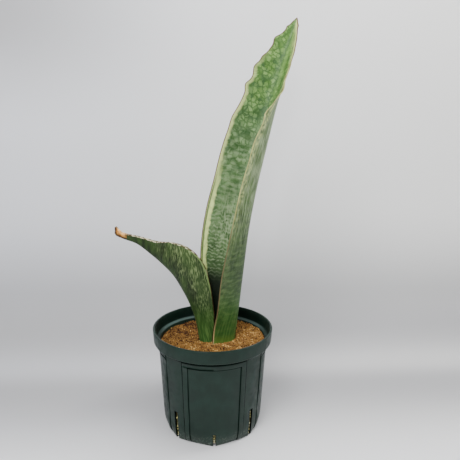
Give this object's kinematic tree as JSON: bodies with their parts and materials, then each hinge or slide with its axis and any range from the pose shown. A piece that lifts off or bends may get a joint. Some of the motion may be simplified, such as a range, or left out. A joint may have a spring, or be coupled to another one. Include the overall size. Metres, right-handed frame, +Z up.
{
  "type": "potted silver dragon snake plant",
  "caption": "Snake plant with a tall channelled leaf and a short folded leaf with silvery cross markings, in a dark green slit-sided plastic nursery pot filled with grainy soil.",
  "frame": {"origin": "centre of the pot's underside, on the surface that it stands on", "axes": "+Z up along the pot's axis, +X towards the side that the tall leaf leans to, -Y out of the side with a short slit in its middle"},
  "size_m": [0.2195, 0.15, 0.498],
  "materials": {
    "pot": "dark green moulded plastic, satin",
    "drainage_layer": "pale pumice grains, matte",
    "potting_soil": "golden-brown clay and pumice grains, matte",
    "rhizome": "pale orange-brown rootstock, matte",
    "leaf_tall": "waxy green leaf with silvery cross bands and a pale margin, satin",
    "leaf_short": "waxy dark green leaf with pale streaks and a dry tan tip, satin"
  },
  "bodies": {
    "root": {"pot": "pot", "drainage_layer": "drainage_layer", "potting_soil": "potting_soil", "rhizome": "rhizome", "leaf_tall": "leaf_tall", "leaf_short": "leaf_short"}
  },
  "joints": []
}
